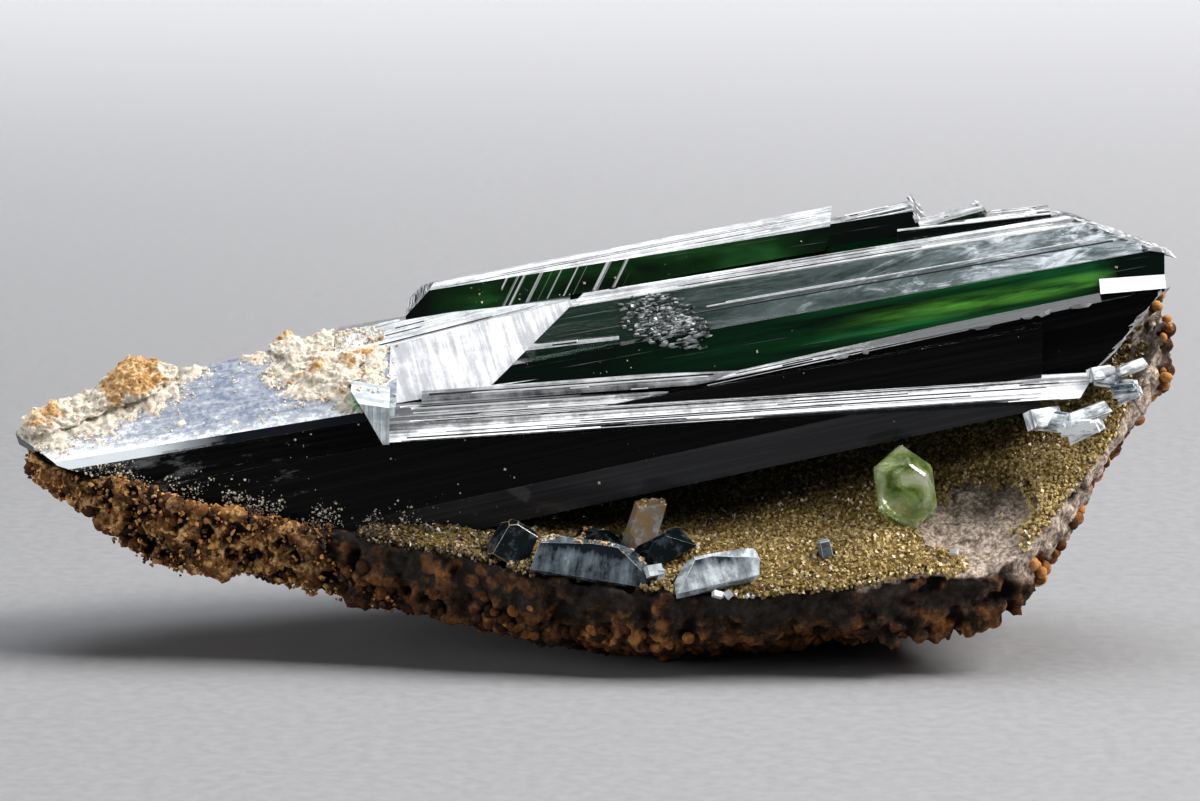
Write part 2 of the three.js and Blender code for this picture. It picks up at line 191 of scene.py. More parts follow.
def facing_turns(normals, along, tilt, rng):
    """Rotation matrices that take X along a direction and Z to the normals, with a random tilt."""
    z = normals + tilt * rng.normal(size=normals.shape)
    z = z / np.linalg.norm(z, axis=1)[:, None]
    y = np.cross(z, along)
    y = y / np.linalg.norm(y, axis=1)[:, None]
    return np.stack([np.cross(y, z), y, z], axis=2)


def scatter(name, kind, points, sizes, rng, turns=None, smooth=False):
    """One mesh of many small shapes, each with a random shade. Without turns they are turned at random."""
    shape, triangles = unit_shape(kind)
    count = len(points)
    turns = random_turns(count, rng) if turns is None else turns
    placed = np.einsum("nij,nkj->nki", turns, shape[None] * sizes[:, None, :]) + points[:, None, :]
    faces = triangles[None] + (np.arange(count) * len(shape))[:, None, None]
    mesh = mesh_from(name, placed.reshape(-1, 3), faces.reshape(-1, 3), smooth)
    set_attribute(mesh, "shade", np.repeat(rng.random_sample(count), len(shape)))
    return mesh


def remeshed(name, source, voxel):
    """A copy of a closed mesh with small even faces."""
    helper = bpy.data.objects.new(name, source.copy())
    scene.collection.objects.link(helper)
    modifier = helper.modifiers.new("remesh", "REMESH")
    modifier.mode = "VOXEL"
    modifier.voxel_size = voxel
    graph = bpy.context.evaluated_depsgraph_get()
    mesh = bpy.data.meshes.new_from_object(helper.evaluated_get(graph))
    mesh.name = name
    bpy.data.objects.remove(helper)
    mesh.materials.clear()
    return mesh


def clamp(value, low=0.0, high=1.0):
    return min(max(value, low), high)


def fractal(point, size, octaves=4):
    return noise.fractal(Vector(point) / size, 0.9, 2.0, octaves, noise_basis="PERLIN_ORIGINAL")


# Materials

class Nodes:
    """Adds nodes to a material. Inputs may be values or sockets."""

    def __init__(self, name):
        self.material = bpy.data.materials.new(name)
        self.material.use_nodes = True
        self.tree = self.material.node_tree
        self.shader = self.tree.nodes["Principled BSDF"]
        self.output = self.tree.nodes["Material Output"]

    def add(self, kind, inputs=None, out=0, **settings):
        node = self.tree.nodes.new(kind)
        for key, value in settings.items():
            setattr(node, key, value)
        self.fill(node, inputs or {})
        return node.outputs[out]

    def fill(self, node, inputs):
        for key, value in inputs.items():
            socket = node.inputs[key]
            if isinstance(value, bpy.types.NodeSocket):
                self.tree.links.new(value, socket)
            else:
                socket.default_value = value

    def coords(self, which="Object", scale=(1, 1, 1)):
        source = self.add("ShaderNodeTexCoord", out=which)
        return self.add("ShaderNodeMapping", {"Vector": source, "Scale": scale})

    def axis(self, which):
        """X, Y or Z of the place, or V, the height over the lower edge of a crystal face."""
        source = self.coords("UV" if which == "V" else "Object")
        return self.add("ShaderNodeSeparateXYZ", {"Vector": source}, out="Y" if which == "V" else which)

    def noise(self, vector, scale=1.0, detail=4.0, roughness=0.6, distortion=0.0):
        return self.add("ShaderNodeTexNoise", {
            "Vector": vector, "Scale": scale, "Detail": detail, "Roughness": roughness,
            "Distortion": distortion,
        })

    def attribute(self, name):
        return self.add("ShaderNodeAttribute", out="Fac", attribute_name=name)

    def math(self, operation, a, b=0.0):
        return self.add("ShaderNodeMath", {0: a, 1: b}, operation=operation)

    def plus(self, a, b):
        return self.math("ADD", a, b)

    def times(self, a, b):
        return self.math("MULTIPLY", a, b)

    def span(self, value, low, high, to_low=0.0, to_high=1.0):
        return self.add("ShaderNodeMapRange", {
            "Value": value, "From Min": low, "From Max": high, "To Min": to_low, "To Max": to_high,
        })

    def ramp(self, value, stops):
        node = self.tree.nodes.new("ShaderNodeValToRGB")
        band = node.color_ramp
        while len(band.elements) < len(stops):
            band.elements.new(0.5)
        for element, (place, colour) in zip(band.elements, stops):
            element.position = place
            element.color = (*colour, 1)
        self.fill(node, {"Fac": value})
        return node.outputs["Color"]

    def mix(self, share, a, b):
        node = self.tree.nodes.new("ShaderNodeMix")
        node.data_type = "RGBA"
        self.fill(node, {"Factor": share})
        for socket, value in ((node.inputs[6], a), (node.inputs[7], b)):
            if isinstance(value, bpy.types.NodeSocket):
                self.tree.links.new(value, socket)
            else:
                socket.default_value = (*value, 1)
        return node.outputs[2]

    def bump(self, height, distance, strength=1.0):
        return self.add("ShaderNodeBump", {"Height": height, "Distance": distance, "Strength": strength})

    def absorb(self, colour, density):
        node = self.tree.nodes.new("ShaderNodeVolumeAbsorption")
        node.inputs["Color"].default_value = (*colour, 1)
        node.inputs["Density"].default_value = density
        self.tree.links.new(node.outputs["Volume"], self.output.inputs["Volume"])

    def finish(self, **inputs):
        self.fill(self.shader, {key.replace("_", " "): value for key, value in inputs.items()})
        return self.material


def clear_crystal(name, absorption, density, roughness, streak_depth):
    """See-through crystal with fine growth lines along the blades."""
    n = Nodes(name)
    lines = n.noise(n.coords("UV", (40, 2600, 1)), detail=5)
    smears = n.noise(n.coords("Object", (90, 400, 400)), detail=5)
    rough = n.span(smears, 0.45, 0.75, roughness, roughness + 0.16)
    n.absorb(absorption, density)
    return n.finish(
        Base_Color=(1, 1, 1, 1), Transmission_Weight=1.0, IOR=CRYSTAL_IOR, Roughness=rough,
        Normal=n.bump(lines, streak_depth),
    )


def pearl_face(
    name, dark, pale, cover, streak=(45, 1900), mottle=350, gloss=0.22, grain=0.35, biases=(),
):
    """A face with a pearly film over dark crystal: streaks along the blade and a mottled cover. Each bias
    thins or thickens the film: axis, start and end in mm, and what it adds at either."""
    n = Nodes(name)
    streaks = n.noise(n.coords("UV", (*streak, 1)), detail=6, roughness=0.7)
    patches = n.noise(n.coords("Object"), scale=mottle, detail=8, roughness=0.7)
    blend = n.plus(n.times(streaks, 1 - grain), n.times(patches, grain))
    film = n.span(blend, *cover)
    for axis, start, end, first, last in biases:
        film = n.plus(film, n.span(n.axis(axis), start * MM, end * MM, first, last))
    colour = n.ramp(film, [(0.0, dark), (0.5, [(a + b) / 2.8 for a, b in zip(dark, pale)]), (1.0, pale)])
    return n.finish(
        Base_Color=colour, IOR=CRYSTAL_IOR, Roughness=n.span(film, 0, 1, gloss * 0.5, gloss * 1.6),
        Normal=n.bump(blend, 0.05 * MM),
    )


def black_face(name, colour, specular):
    """A face too dark to see into, with faint lines along the blade and a few pale smears."""
    n = Nodes(name)
    lines = n.noise(n.coords("UV", (35, 2200, 1)), detail=6)
    smears = n.noise(n.coords("UV", (220, 700, 1)), detail=8, roughness=0.75)
    shade = n.ramp(lines, [(0.45, colour), (0.75, [c * 2 + 0.004 for c in colour])])
    smears = n.plus(smears, n.span(n.axis("X"), -38 * MM, -16 * MM, 0.2, 0.0))
    shade = n.mix(n.span(smears, 0.66, 0.8, 0.0, 0.5), shade, (0.3, 0.32, 0.33))
    return n.finish(
        Base_Color=shade, IOR=CRYSTAL_IOR, Specular_IOR_Level=specular,
        Roughness=n.span(smears, 0.5, 0.75, 0.06, 0.35), Normal=n.bump(lines, 0.012 * MM),
    )


def painted_glow_face(name, dark, bright, reach, lines, glow_streak=None, scratches=None):
    """A dark green face with a painted glow of light seen through the crystal: streaks along the blade
    between places in x. If there are any, a bright painted streak of that light from one x and z to another,
    and fine diagonal scratches. Millimetres."""
    n = Nodes(name)
    x, z = n.axis("X"), n.axis("Z")
    left, full, fading, right = (place * MM for place in reach)
    streaks = n.noise(n.coords("UV", (*lines, 1)), detail=3, distortion=0.3)
    fine = n.noise(n.coords("UV", (60, 3000, 1)), detail=6)
    inside = n.times(n.span(x, left, full), n.span(x, fading, right, 1.0, 0.0))
    # Painted glow: light coming through the crystal, drawn in the face's colour
    painted_glow = n.times(n.span(streaks, 0.34, 0.7), inside)
    colour = n.ramp(painted_glow, [(0.0, dark), (0.4, [b * 0.25 for b in bright]), (0.9, bright)])
    if glow_streak:
        (x0, z0), (x1, z1), half = glow_streak
        # A painted streak of brighter light through the crystal along a line in x and z
        off = n.math("ABSOLUTE", n.math("SUBTRACT", z, n.span(x, x0 * MM, x1 * MM, z0 * MM, z1 * MM)))
        broken = n.noise(n.coords("UV", (110, 1100, 1)), detail=5, roughness=0.65)
        shine = n.span(off, 0, half * MM, 1.0, 0.0)
        shine = n.times(shine, n.span(broken, 0.38, 0.62, 0.1, 1.0))
        shine = n.times(shine, n.times(n.span(x, x0 * MM, (x0 + 12) * MM), inside))
        colour = n.mix(shine, colour, (0.14, 0.5, 0.06))
    colour = n.mix(n.span(fine, 0.62, 0.75, 0.0, 0.5), colour, (0.4, 0.45, 0.44))
    if scratches:
        start, end, pitch, tilt = scratches
        across = n.math("SUBTRACT", x, n.times(z, tilt))
        wave = n.noise(n.add("ShaderNodeCombineXYZ", {"X": n.math("DIVIDE", across, pitch * MM)}), detail=3)
        where = n.times(n.math("GREATER_THAN", x, start * MM), n.math("LESS_THAN", x, end * MM))
        colour = n.mix(n.times(n.span(wave, 0.54, 0.6), where), colour, (0.8, 0.84, 0.84))
    return n.finish(
        Base_Color=colour, IOR=CRYSTAL_IOR, Specular_IOR_Level=0.3,
        Roughness=n.span(fine, 0.5, 0.75, 0.05, 0.3), Normal=n.bump(fine, 0.02 * MM),
    )


def wispy_face(name):
    """A frosted face: a grey haze, pale wisps and scratches over dark green, thinning out to the left."""
    n = Nodes(name)
    haze = n.noise(n.coords("UV", (90, 260, 1)), detail=10, roughness=0.75, distortion=0.6)
    wisps = n.noise(n.coords("UV", (130, 430, 1)), detail=8, roughness=0.7, distortion=1.8)
    scratches = n.noise(n.coords("UV", (50, 2600, 1)), detail=6)
    frost = n.plus(n.span(haze, 0.35, 0.7, 0.0, 0.6), n.span(wisps, 0.52, 0.7, 0.0, 0.6))
    frost = n.times(frost, n.span(n.axis("X"), 4 * MM, 34 * MM, 0.1, 1.9))
    frost = n.math("MAXIMUM", frost, n.span(scratches, 0.6, 0.76, 0.0, 0.7))
    colour = n.ramp(
        frost, [(0.0, (0.004, 0.016, 0.008)), (0.4, (0.1, 0.13, 0.135)), (1.0, (0.62, 0.68, 0.74))],
    )
    return n.finish(
        Base_Color=colour, IOR=CRYSTAL_IOR, Roughness=n.span(frost, 0, 1, 0.1, 0.4),
        Normal=n.bump(wisps, 0.04 * MM),
    )


def green_material():
    """The pale green crystal: cloudy, with clearer veins."""
    n = Nodes("green_crystal")
    cloud = n.noise(n.coords(), scale=340, detail=6, distortion=0.8)
    colour = n.ramp(cloud, [(0.38, (0.1, 0.18, 0.02)), (0.5, (0.5, 0.64, 0.24)), (0.62, (0.95, 0.98, 0.8))])
    return n.finish(
        Base_Color=colour, Transmission_Weight=0.65, IOR=CRYSTAL_IOR,
        Roughness=n.span(cloud, 0.3, 0.7, 0.02, 0.14), Normal=n.bump(cloud, 0.05 * MM),
    )


def bare_rock(n, broad):
    """Colour of the pale bare patch: fine grit with a few open cracks, drawn as dark lines of painted shade.
    """
    grit = n.noise(n.coords(), scale=3000, detail=6, roughness=0.7)
    pale = n.ramp(
        grit, [(0.38, (0.17, 0.125, 0.095)), (0.5, (0.43, 0.335, 0.27)), (0.62, (0.78, 0.68, 0.59))],
    )
    stretched = n.coords(scale=(0.3, 0.3, 0.3))
    bent = n.add("ShaderNodeVectorMath", {0: n.coords(), 1: stretched}, operation="ADD")
    cells = {"Vector": bent, "Scale": 260}
    cracks = n.add("ShaderNodeTexVoronoi", cells, out="Distance", feature="DISTANCE_TO_EDGE")
    # The cracks are painted shade: dark lines where the voronoi edges are close
    depth = n.times(n.span(cracks, 0.0, 0.05, 0.85, 0.0), n.span(broad, 0.46, 0.52))
    return n.mix(depth, pale, (0.03, 0.02, 0.014))


def rock_material():
    """Ironstone: earthy on the left, dark brown elsewhere, the dark brown partly its own tone and partly
    painted shade, with oolites, fresh breaks, painted shade in the pits and a bare patch.
    """
    n = Nodes("ironstone")
    fine = n.noise(n.coords(), scale=1500, detail=9, roughness=0.75)
    broad = n.noise(n.coords(), scale=170, detail=6)
    earth = n.ramp(
        fine, [(0.36, (0.015, 0.006, 0.002)), (0.48, (0.3, 0.125, 0.03)), (0.58, (0.92, 0.58, 0.25))],
    )
    umber_and_shade = n.ramp(
        fine, [(0.36, (0.006, 0.003, 0.0015)), (0.5, (0.03, 0.014, 0.006)), (0.64, (0.13, 0.06, 0.02))],
    )
    # Right of x -25 to -19 mm the earth turns dark brown: partly the rock's own tone, partly painted shade
    # on the rim that faces down
    earth = n.mix(n.span(n.axis("X"), -25 * MM, -19 * MM), earth, umber_and_shade)
    mottle = n.times(n.plus(broad, fine), 0.5)
    nodule = n.ramp(
        mottle, [(0.4, (0.02, 0.007, 0.002)), (0.5, (0.14, 0.05, 0.012)), (0.6, (0.42, 0.18, 0.05))],
    )
    broken = n.ramp(
        fine, [(0.3, (0.006, 0.004, 0.003)), (0.5, (0.018, 0.012, 0.009)), (0.75, (0.06, 0.045, 0.034))],
    )
    section = n.span(n.axis("X"), -6 * MM, 0, 0.4, 0.0)
    cut_oolites = n.times(n.span(n.attribute("oolite"), 0.55, 0.75), section)
    broken = n.mix(cut_oolites, broken, nodule)
    broken = n.mix(n.attribute("bare"), broken, bare_rock(n, broad))
    outside = n.mix(n.span(n.attribute("oolite"), 0.4, 0.75, 0.0, 0.85), earth, nodule)
    # Painted shade in the pits, where the relief is low
    painted_pit_shade = n.span(n.attribute("relief"), -0.35, 0.12, 0.95, 0.0)
    outside = n.mix(painted_pit_shade, outside, (0.006, 0.003, 0.0015))
    colour = n.mix(n.span(n.attribute("fracture"), 0.3, 0.8), outside, broken)
    return n.finish(
        Base_Color=colour, Specular_IOR_Level=0.25, Roughness=n.span(fine, 0.3, 0.7, 0.95, 0.65),
        Normal=n.bump(fine, 0.18 * MM),
    )


def oolite_material():
    """Iron oolites: orange where they stand free on the right, darker to the left of x 26 mm, which is
    painted shade along the rim.
    """
    n = Nodes("oolite")
    fine = n.noise(n.coords(), scale=2200, detail=8, roughness=0.7)
    tint = n.plus(n.attribute("shade"), n.times(fine, 1.2))
    # Painted shade: the oolites darken to the left of x 26 mm, most of all left of 14 mm
    tint = n.plus(tint, n.span(n.axis("X"), 14 * MM, 26 * MM, -0.6, -0.12))
    dark = [(0.08, (0.012, 0.005, 0.002)), (0.48, (0.075, 0.028, 0.008))]
    bright = [(0.74, (0.24, 0.092, 0.025)), (0.95, (0.58, 0.26, 0.08))]
    colour = n.ramp(n.times(tint, 0.8), dark + bright)
    return n.finish(
        Base_Color=colour, Specular_IOR_Level=0.15, Roughness=n.span(fine, 0.3, 0.7, 0.8, 0.55),
        Normal=n.bump(fine, 0.2 * MM),
    )


def crumb_material():
    """Earthy crumbs on the broken ironstone."""
    n = Nodes("ironstone_crumb")
    fine = n.noise(n.coords(), scale=2200, detail=6)
    tint = n.plus(n.attribute("shade"), n.times(fine, 0.4))
    colour = n.ramp(
        tint, [(0.35, (0.02, 0.008, 0.003)), (0.8, (0.26, 0.1, 0.025)), (1.0, (0.6, 0.32, 0.1))],
    )
    return n.finish(Base_Color=colour, Roughness=n.span(fine, 0.3, 0.7, 1.0, 0.7))


def druse_material():
    """Golden crystals, with painted light to the right and painted shade on the left and deep in the hollow.
    """
    n = Nodes("druse")
    broad = n.noise(n.coords(), scale=220, detail=4)
    tint = n.plus(n.times(n.attribute("shade"), 0.7), n.times(broad, 0.5))
    # Painted shade on the left of the hollow
    tint = n.plus(tint, n.span(n.axis("X"), -16 * MM, -2 * MM, -0.5, 0.0))
    # Painted light on the right
    tint = n.plus(tint, n.span(n.axis("X"), 16 * MM, 32 * MM, 0.0, 0.3))
    # Painted shadow deep in the hollow, under the crystal
    tint = n.plus(tint, n.span(n.axis("Y"), -8 * MM, -3 * MM, 0.0, -0.45))
    dark = [(0.0, (0.02, 0.012, 0.003)), (0.2, (0.1, 0.062, 0.016))]
    bright = [(0.6, (0.34, 0.23, 0.07)), (1.0, (0.68, 0.52, 0.22))]
    colour = n.ramp(tint, dark + bright)
    return n.finish(Base_Color=colour, Roughness=n.span(broad, 0.3, 0.7, 0.3, 0.45), IOR=1.7)


def druse_base_material():
    """The crust between the druse's crystals."""
    n = Nodes("druse_base")
    fine = n.noise(n.coords(), scale=1600, detail=6)
    colour = n.ramp(fine, [(0.35, (0.06, 0.038, 0.01)), (0.65, (0.32, 0.21, 0.07))])
    return n.finish(
        Base_Color=colour, Specular_IOR_Level=0.1, Roughness=n.span(fine, 0.3, 0.7, 1.0, 0.8),
        Normal=n.bump(fine, 0.15 * MM),
    )


def dust_material():
    n = Nodes("dust")
    fine = n.noise(n.coords(), scale=2500, detail=4)
    tint = n.plus(n.times(n.attribute("shade"), 0.6), n.times(fine, 0.4))
    colour = n.ramp(tint, [(0.1, (0.3, 0.24, 0.15)), (0.5, (0.62, 0.56, 0.44)), (0.9, (0.8, 0.82, 0.82))])
    return n.finish(Base_Color=colour, Roughness=n.span(fine, 0.3, 0.7, 0.9, 0.6))


def ridge_material(name, dark, pale, start):
    """Ridges from dark to pale. The share of dark ones is start."""
    n = Nodes(name)
    fine = n.noise(n.coords(), scale=1800, detail=4)
    tint = n.plus(n.times(n.attribute("shade"), 0.8), n.times(fine, 0.3))
    colour = n.ramp(tint, [(start, dark), (start + 0.35, pale)])
    return n.finish(Base_Color=colour, IOR=CRYSTAL_IOR, Roughness=n.span(fine, 0.3, 0.7, 0.12, 0.3))


def ochre_material():
    """Rust-coloured where the crust is thick, cream where it is thin, and either on loose grains."""
    n = Nodes("ochre")
    fine = n.noise(n.coords(), scale=2200, detail=8, roughness=0.75)
    broad = n.noise(n.coords(), scale=420, detail=5)
    rust = n.ramp(fine, [(0.34, (0.2, 0.08, 0.02)), (0.5, (0.64, 0.36, 0.13)), (0.62, (0.95, 0.74, 0.46))])
    cream = n.ramp(fine, [(0.36, (0.5, 0.39, 0.27)), (0.54, (0.95, 0.88, 0.76))])
    thick = n.plus(n.attribute("thick"), n.times(n.attribute("shade"), 0.8))
    thick = n.plus(thick, n.span(broad, 0.38, 0.62, -0.4, 0.5))
    thick = n.plus(thick, n.span(n.axis("X"), -43 * MM, -34 * MM, -0.25, 0.0))
    colour = n.mix(n.span(thick, 0.72, 1.0), cream, rust)
    return n.finish(
        Base_Color=colour, Roughness=n.span(fine, 0.3, 0.7, 1.0, 0.85), Normal=n.bump(fine, 0.2 * MM),
    )


def floor_material():
    n = Nodes("floor")
    speck = n.noise(n.coords(), scale=900, detail=3)
    colour = n.ramp(speck, [(0.35, (0.29, 0.29, 0.302)), (0.65, (0.32, 0.32, 0.332))])
    return n.finish(Base_Color=colour, Roughness=n.span(speck, 0.3, 0.7, 0.55, 0.7))


# Films on the main crystal's faces. The last one is on its worn edges: a pale film that is partly a painted
# highlight along them.
FILMS = {
    "clear": clear_crystal("vivianite", (0.1, 0.66, 0.4), 1400, 0.03, 0.012 * MM),
    "black": black_face("black_face", (0.0025, 0.0026, 0.0026), 0.06),
    # grey: the face's grey is a painted reflection of the floor that it faces
    "grey": black_face("grey_face_painted_reflection", (0.026, 0.027, 0.031), 0.12),
    "slab": pearl_face(
        "slab_film", (0.06, 0.1, 0.19), (0.86, 0.9, 0.97), (0.44, 0.68), streak=(500, 1700), mottle=2300,
        grain=0.5, biases=[("X", -41, -31, 0.5, 0.0), ("V", 0.2, 1.5, 0.5, 0.0)],
    ),
    "sheet": pearl_face(
        "sheet_film", (0.24, 0.25, 0.3), (0.78, 0.79, 0.82), (0.34, 0.56), streak=(1300, 60),
    ),
    "bevel": pearl_face(
        "bevel_film", (0.006, 0.008, 0.012), (0.82, 0.89, 0.94), (0.34, 0.5), streak=(60, 1200),
        biases=[("X", -36, -28, 0.3, -1.0)],
    ),
    "white": pearl_face(
        "white_film", (0.03, 0.034, 0.038), (0.88, 0.91, 0.95), (0.4, 0.6), streak=(25, 1500),
        biases=[("V", 0.2, 1.8, -0.15, 0.25)],
    ),
    "rail": pearl_face(
        "rail_film", (0.004, 0.005, 0.005), (0.9, 0.92, 0.95), (0.38, 0.56), streak=(60, 1500),
        biases=[("X", 16, 30, 0.0, -1.2)],
    ),
    "streak": pearl_face(
        "streak_film", (0.008, 0.01, 0.014), (0.95, 0.97, 1.0), (0.4, 0.53), streak=(22, 1900),
        biases=[("V", 0.4, 1.5, 0.7, -0.3), ("X", 8, 28, 0.0, 0.55), ("X", -15, -6, -0.4, 0.0)],
    ),
    "silver": pearl_face(
        "silver_film", (0.01, 0.012, 0.014), (0.9, 0.93, 0.96), (0.4, 0.58), streak=(30, 2100),
    ),
    "hook": pearl_face("hook_film", (0.04, 0.055, 0.06), (0.88, 0.93, 0.97), (0.32, 0.54), streak=(60, 900)),
    "pale": pearl_face("pale_film", (0.2, 0.26, 0.3), (0.82, 0.89, 0.94), (0.35, 0.58), mottle=900),
    "wispy": wispy_face("wispy_film"),
    # band and crest: dark green faces with a painted glow of light through the crystal
    "band": painted_glow_face(
        "green_band_painted_glow", (0.002, 0.007, 0.004), (0.014, 0.16, 0.045), (1, 22, 38.5, 40.5), (40, 620),
        glow_streak=((17, 25.4), (39.9, 29.6), 0.9),
    ),
    "crest": painted_glow_face(
        "green_crest_painted_glow", (0.003, 0.006, 0.004), (0.03, 0.15, 0.035), (-13, -8, 14, 20), (90, 300),
        scratches=(-7, 3, 0.6, 0.5),
    ),
    # facet: a painted reflection of the lamps, a bright patch on a small facet at the right end
    "facet": pearl_face("facet_painted_reflection", (0.5, 0.6, 0.7), (0.95, 0.97, 1.0), (0.2, 0.4), mottle=900),
    # edge: pale film on the worn edges, partly wear and partly painted highlight
    "edge": pearl_face(
        "edge_film_and_highlight", (0.03, 0.033, 0.036), (0.95, 0.96, 0.97), (0.44, 0.58), streak=(400, 400), mottle=600,
    ),
}
CHIP_FILM = pearl_face(
    "chip_film", (0.003, 0.008, 0.005), (0.86, 0.9, 0.92), (0.46, 0.6), streak=(900, 2500), mottle=1500,
    gloss=0.1,
)
SMALL_VIVIANITE = pearl_face(
    "small_vivianite", (0.006, 0.01, 0.014), (0.32, 0.4, 0.46), (0.42, 0.72), streak=(900, 160), mottle=900,
    biases=[("V", 1.7, 2.5, 0.0, -0.5)],
)
PALE_BLADE = pearl_face(
    "pale_blade", (0.02, 0.03, 0.038), (0.74, 0.82, 0.88), (0.34, 0.64), streak=(900, 200), mottle=1100,
    biases=[("V", 1.3, 2.2, 0.1, -0.6)],
)
DARK_PRISM = pearl_face(
    "dark_prism", (0.003, 0.006, 0.007), (0.2, 0.26, 0.3), (0.5, 0.78), streak=(700, 300), mottle=1300,
    grain=0.5,
)
TAN_FLAKE = pearl_face(
    "tan_flake", (0.3, 0.17, 0.05), (0.36, 0.4, 0.4), (0.42, 0.6), streak=(500, 300), mottle=700, grain=0.6,
)
SPLINTER_FILM = pearl_face(
    "splinter_film", (0.02, 0.06, 0.1), (0.92, 0.97, 1.0), (0.4, 0.54), streak=(300, 1600), gloss=0.12,
)
GREEN = green_material()
DUST = dust_material()
PALE_RIDGE = ridge_material("pale_ridge", (0.02, 0.022, 0.025), (0.95, 0.96, 0.97), 0.3)
DARK_RIDGE = ridge_material("dark_ridge", (0.003, 0.004, 0.004), (0.06, 0.07, 0.07), 0.7)
ROCK = rock_material()
OOLITE = oolite_material()
CRUMB = crumb_material()
DRUSE = druse_material()
DRUSE_BASE = druse_base_material()
OCHRE = ochre_material()


# Crystals: CAD solids with worn edges and a film on some faces

def lean_of(normal):
    """0 faces the front, 90 up, 180 the back."""
    return math.degrees(math.atan2(normal.z, -normal.y))


# Films of the main crystal's faces: lean from, lean to, x from, x to and y from, y to in mm, film
FACE_FILMS = [
    (-180, 180, -50, -43, -20, 20, "pale"),
    (9, 63, -19, -15, -20, -7, "pale"),
    (26, 30, -50, -12, -20, 0, "bevel"),
    # A small facet at the right end with a painted reflection
    (46, 50, 39, 50, -20, 0, "facet"),
    # The downward grey face, whose grey is a painted reflection of the floor
    (-15, -8, -50, 50, -20, 0, "grey"),
    (1, 9, -50, 50, -20, 0, "black"),
    # Faces with a painted glow of light through the crystal
    (11, 14, -50, 50, -20, 0, "band"),
    (8, 11, -50, 50, 0, 20, "crest"),
    (53, 57, -50, -12, -20, 20, "slab"),
    (33, 37, -50, 50, -20, 20, "white"),
    (38, 43, -50, 50, -20, 20, "wispy"),
    (46, 49, -50, 50, -20, 20, "streak"),
    (48, 51, -50, 1, -3.5, 20, "hook"),
    (48, 51.5, 5, 50, -20, 0, "rail"),
    (51, 53.5, -50, 5, -20, 20, "sheet"),
    (58, 62, -50, 50, -20, 20, "silver"),
    (48, 68, -50, 50, -20, 20, "white"),
    (68, 82, -50, 50, -20, 20, "silver"),
]


def main_face_film(normal, centre):
    """The film on a face of the main crystal, from its lean and its place."""
    lean = lean_of(normal)
    x, y, _ = centre / MM
    for low, high, left, right, front, back, film in FACE_FILMS:
        if low < lean < high and left < x < right and front < y < back and abs(normal.x) < 0.95:
            return film
    return "clear"


def break_off(form, breaks):
    """Cuts pieces off a blade. Each break is a place along the blade's longest edge and above it, as shares
    of its length and height, and the direction that it faces, in degrees up from the end of the edge."""
    longest = max(form.edges, key=lambda edge: edge.calc_length())
    along = (longest.verts[1].co - longest.verts[0].co).normalized()
    along = -along if along.x < 0 else along
    up = (UP_AND_FORWARD - along * along.dot(UP_AND_FORWARD)).normalized()
    spans = []
    for axis in (along, up):
        reach = [vert.co.dot(axis) for vert in form.verts]
        spans.append((min(reach), max(reach)))
    for u, v, angle in breaks:
        turn = math.radians(angle)
        facing = along * math.cos(turn) + up * math.sin(turn)
        place = Vector()
        for axis, (low, high), share in zip((along, up), spans, (u, v)):
            place += axis * (low + share * (high - low))
        everything = form.verts[:] + form.edges[:] + form.faces[:]
        cut = bmesh.ops.bisect_plane(
            form, geom=everything, plane_co=place, plane_no=facing, clear_outer=True,
        )
        rim = [item for item in cut["geom_cut"] if isinstance(item, bmesh.types.BMEdge)]
        bmesh.ops.contextual_create(form, geom=rim)


def worn_crystal(name, node, choose, films, wear=EDGE_WEAR, breaks=()):
    """A copy of a CAD crystal: its long directions as UVs, a film per face, and worn edges in the last
    film. Returns the mesh and the faces as film, corners, normal and long direction."""
    form = bmesh.new()
    form.from_mesh(cad_mesh(node))
    bmesh.ops.remove_doubles(form, verts=form.verts, dist=0.001 * MM)
    bmesh.ops.dissolve_limit(form, angle_limit=math.radians(1), verts=form.verts, edges=form.edges)
    break_off(form, breaks)
    layer = form.loops.layers.uv.new("UVMap")
    faces = []
    for face in form.faces:
        longest = max(face.edges, key=lambda edge: edge.calc_length())
        along = (longest.verts[1].co - longest.verts[0].co).normalized()
        along = -along if along.x < 0 else along
        across = face.normal.cross(along)
        low = min(vert.co.dot(across) for vert in face.verts)
        for loop in face.loops:
            loop[layer].uv = (loop.vert.co.dot(along), loop.vert.co.dot(across) - low)
        film = choose(face.normal, face.calc_center_median())
        face.material_index = films.index(film)
        face.smooth = False
        faces.append((film, [v.co.copy() for v in face.verts], face.normal.copy(), along))
    sharp = [edge for edge in form.edges if edge.is_manifold and edge.calc_face_angle(0) > math.radians(6)]
    bmesh.ops.bevel(
        form, geom=sharp, offset=wear, segments=1, affect="EDGES", clamp_overlap=True,
        material=len(films) - 1,
    )
    mesh = bpy.data.meshes.new(name)
    form.to_mesh(mesh)
    form.free()
    return mesh, faces


